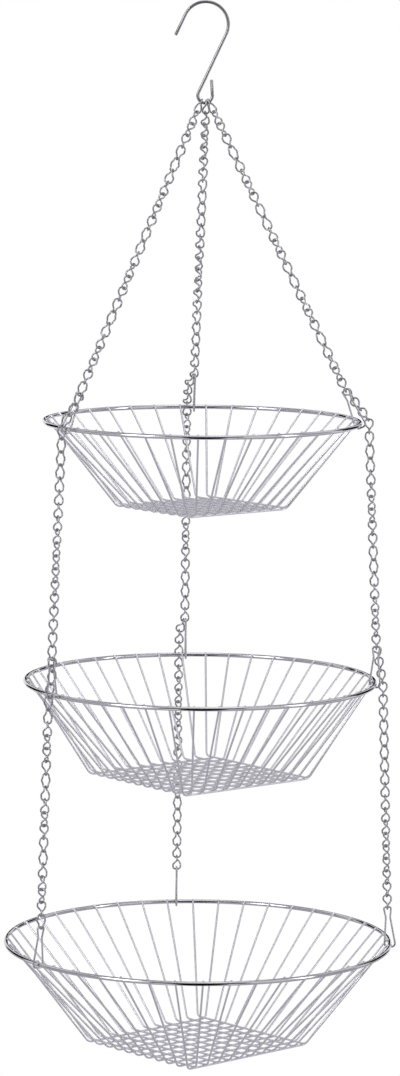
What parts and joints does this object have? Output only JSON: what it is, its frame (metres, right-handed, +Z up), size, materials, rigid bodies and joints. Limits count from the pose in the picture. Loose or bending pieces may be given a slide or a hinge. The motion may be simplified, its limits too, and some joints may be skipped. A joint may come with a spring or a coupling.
{
  "type": "hanging fruit basket",
  "caption": "Three round chromed wire baskets hung one above another on three chains from an S-shaped hook, for keeping fruit off the worktop.",
  "frame": {"origin": "where the hook's upper bend rests on its rail", "axes": "+X to the right and +Y away from the viewer of the picture, +Z up"},
  "size_m": [0.3075, 0.3063, 0.8155],
  "materials": {
    "chrome_hook": "bright chrome plate on bent steel rod",
    "chrome_rim": "bright chrome plate on thick steel ring",
    "chrome_wire": "bright chrome plate on thin steel wire",
    "chrome_hanger": "bright chrome plate on bent wire clips",
    "chrome_chain": "nickel-chrome plate on twisted steel links"
  },
  "bodies": {
    "hook": {"s_hook": "chrome_hook"},
    "top_basket": {"top_rim": "chrome_rim", "top_wires_below": "chrome_wire", "top_wires_above": "chrome_wire", "top_hanger_left": "chrome_hanger", "top_hanger_back": "chrome_hanger", "top_hanger_right": "chrome_hanger", "top_chain_left": "chrome_chain", "top_chain_back": "chrome_chain", "top_chain_right": "chrome_chain", "top_rim_chain_left": "chrome_chain", "top_rim_chain_back": "chrome_chain", "top_rim_chain_right": "chrome_chain"},
    "middle_lead_left": {"middle_lead_link_left": "chrome_chain"},
    "middle_run_left": {"middle_chain_left": "chrome_chain"},
    "middle_end_left": {"middle_end_link_left": "chrome_chain"},
    "middle_lead_back": {"middle_lead_link_back": "chrome_chain"},
    "middle_run_back": {"middle_chain_back": "chrome_chain"},
    "middle_end_back": {"middle_end_link_back": "chrome_chain"},
    "middle_lead_right": {"middle_lead_link_right": "chrome_chain"},
    "middle_run_right": {"middle_chain_right": "chrome_chain"},
    "middle_end_right": {"middle_end_link_right": "chrome_chain"},
    "middle_basket": {"middle_rim": "chrome_rim", "middle_wires_below": "chrome_wire", "middle_wires_above": "chrome_wire", "middle_hanger_left": "chrome_hanger", "middle_hanger_back": "chrome_hanger", "middle_hanger_right": "chrome_hanger", "middle_rim_chain_left": "chrome_chain", "middle_rim_chain_back": "chrome_chain", "middle_rim_chain_right": "chrome_chain"},
    "bottom_lead_left": {"bottom_lead_link_left": "chrome_chain"},
    "bottom_run_left": {"bottom_chain_left": "chrome_chain"},
    "bottom_end_left": {"bottom_end_link_left": "chrome_chain"},
    "bottom_lead_back": {"bottom_lead_link_back": "chrome_chain"},
    "bottom_run_back": {"bottom_chain_back": "chrome_chain"},
    "bottom_end_back": {"bottom_end_link_back": "chrome_chain"},
    "bottom_lead_right": {"bottom_lead_link_right": "chrome_chain"},
    "bottom_run_right": {"bottom_chain_right": "chrome_chain"},
    "bottom_end_right": {"bottom_end_link_right": "chrome_chain"},
    "bottom_basket": {"bottom_rim": "chrome_rim", "bottom_wires_below": "chrome_wire", "bottom_wires_above": "chrome_wire", "bottom_hanger_left": "chrome_hanger", "bottom_hanger_back": "chrome_hanger", "bottom_hanger_right": "chrome_hanger"}
  },
  "joints": [
    {"name": "hook_swing", "type": "hinge", "parent": "hook", "child": "top_basket", "pos_m": [0, 0, -0.07536], "axis": [1, 0, 0], "range_deg": [-12, 12]},
    {"name": "middle_swing_fore_left", "type": "hinge", "parent": "top_basket", "child": "middle_lead_left", "pos_m": [-0.10551, -0.07364, -0.31814], "axis": [1, 0, 0], "range_deg": [-7.5, 7.5]},
    {"name": "middle_swing_side_left", "type": "hinge", "parent": "middle_lead_left", "child": "middle_run_left", "pos_m": [-0.10589, -0.07389, -0.32803], "axis": [0, 1, 0], "range_deg": [-7.5, 7.5]},
    {"name": "middle_end_level_left", "type": "hinge", "parent": "middle_run_left", "child": "middle_end_left", "pos_m": [-0.11199, -0.07784, -0.48626], "axis": [0, 1, 0], "range_deg": [-7.5, 7.5]},
    {"name": "middle_swing_fore_back", "type": "hinge", "parent": "top_basket", "child": "middle_lead_back", "pos_m": [-0.01325, 0.12798, -0.31814], "axis": [1, 0, 0], "range_deg": [-7.5, 7.5]},
    {"name": "middle_swing_side_back", "type": "hinge", "parent": "middle_lead_back", "child": "middle_run_back", "pos_m": [-0.01328, 0.12843, -0.32803], "axis": [0, 1, 0], "range_deg": [-7.5, 7.5]},
    {"name": "middle_end_level_back", "type": "hinge", "parent": "middle_run_back", "child": "middle_end_back", "pos_m": [-0.01379, 0.13569, -0.48626], "axis": [0, 1, 0], "range_deg": [-7.5, 7.5]},
    {"name": "middle_swing_fore_right", "type": "hinge", "parent": "top_basket", "child": "middle_lead_right", "pos_m": [0.12858, -0.00469, -0.31814], "axis": [1, 0, 0], "range_deg": [-7.5, 7.5]},
    {"name": "middle_swing_side_right", "type": "hinge", "parent": "middle_lead_right", "child": "middle_run_right", "pos_m": [0.12903, -0.00472, -0.32803], "axis": [0, 1, 0], "range_deg": [-7.5, 7.5]},
    {"name": "middle_end_level_right", "type": "hinge", "parent": "middle_run_right", "child": "middle_end_right", "pos_m": [0.13628, -0.00523, -0.48626], "axis": [0, 1, 0], "range_deg": [-7.5, 7.5]},
    {"name": "middle_level_fore", "type": "hinge", "parent": "middle_end_back", "child": "middle_basket", "pos_m": [-0.01382, 0.13606, -0.4943], "axis": [1, 0, 0], "range_deg": [-7.5, 7.5]},
    {"name": "bottom_swing_fore_left", "type": "hinge", "parent": "middle_basket", "child": "bottom_lead_left", "pos_m": [-0.11445, -0.08456, -0.52413], "axis": [1, 0, 0], "range_deg": [-7.5, 7.5]},
    {"name": "bottom_swing_side_left", "type": "hinge", "parent": "bottom_lead_left", "child": "bottom_run_left", "pos_m": [-0.11473, -0.08474, -0.53403], "axis": [0, 1, 0], "range_deg": [-7.5, 7.5]},
    {"name": "bottom_end_level_left", "type": "hinge", "parent": "bottom_run_left", "child": "bottom_end_left", "pos_m": [-0.11918, -0.08763, -0.69234], "axis": [0, 1, 0], "range_deg": [-7.5, 7.5]},
    {"name": "bottom_swing_fore_back", "type": "hinge", "parent": "middle_basket", "child": "bottom_lead_back", "pos_m": [-0.01847, 0.1411, -0.52413], "axis": [1, 0, 0], "range_deg": [-7.5, 7.5]},
    {"name": "bottom_swing_side_back", "type": "hinge", "parent": "bottom_lead_back", "child": "bottom_run_back", "pos_m": [-0.0185, 0.14143, -0.53403], "axis": [0, 1, 0], "range_deg": [-7.5, 7.5]},
    {"name": "bottom_end_level_back", "type": "hinge", "parent": "bottom_run_back", "child": "bottom_end_back", "pos_m": [-0.01886, 0.14672, -0.69234], "axis": [0, 1, 0], "range_deg": [-7.5, 7.5]},
    {"name": "bottom_swing_fore_right", "type": "hinge", "parent": "middle_basket", "child": "bottom_lead_right", "pos_m": [0.1423, -0.00135, -0.52413], "axis": [1, 0, 0], "range_deg": [-7.5, 7.5]},
    {"name": "bottom_swing_side_right", "type": "hinge", "parent": "bottom_lead_right", "child": "bottom_run_right", "pos_m": [0.14263, -0.00137, -0.53403], "axis": [0, 1, 0], "range_deg": [-7.5, 7.5]},
    {"name": "bottom_end_level_right", "type": "hinge", "parent": "bottom_run_right", "child": "bottom_end_right", "pos_m": [0.14791, -0.00174, -0.69234], "axis": [0, 1, 0], "range_deg": [-7.5, 7.5]},
    {"name": "bottom_level_fore", "type": "hinge", "parent": "bottom_end_back", "child": "bottom_basket", "pos_m": [-0.01888, 0.14699, -0.70038], "axis": [1, 0, 0], "range_deg": [-7.5, 7.5]}
  ],
  "couplings": [
    {"joint": "middle_swing_fore_left", "follows": "middle_swing_fore_back", "ratio": 1},
    {"joint": "middle_swing_side_left", "follows": "middle_swing_side_back", "ratio": 1},
    {"joint": "middle_end_level_left", "follows": "middle_swing_side_back", "ratio": -0.9468},
    {"joint": "middle_end_level_back", "follows": "middle_swing_side_back", "ratio": -0.9468},
    {"joint": "middle_swing_fore_right", "follows": "middle_swing_fore_back", "ratio": 1},
    {"joint": "middle_swing_side_right", "follows": "middle_swing_side_back", "ratio": 1},
    {"joint": "middle_end_level_right", "follows": "middle_swing_side_back", "ratio": -0.9468},
    {"joint": "middle_level_fore", "follows": "middle_swing_fore_back", "ratio": -0.9408},
    {"joint": "bottom_swing_fore_left", "follows": "bottom_swing_fore_back", "ratio": 1},
    {"joint": "bottom_swing_side_left", "follows": "bottom_swing_side_back", "ratio": 1},
    {"joint": "bottom_end_level_left", "follows": "bottom_swing_side_back", "ratio": -0.9642},
    {"joint": "bottom_end_level_back", "follows": "bottom_swing_side_back", "ratio": -0.9642},
    {"joint": "bottom_swing_fore_right", "follows": "bottom_swing_fore_back", "ratio": 1},
    {"joint": "bottom_swing_side_right", "follows": "bottom_swing_side_back", "ratio": 1},
    {"joint": "bottom_end_level_right", "follows": "bottom_swing_side_back", "ratio": -0.9642},
    {"joint": "bottom_level_fore", "follows": "bottom_swing_fore_back", "ratio": -0.9601}
  ]
}
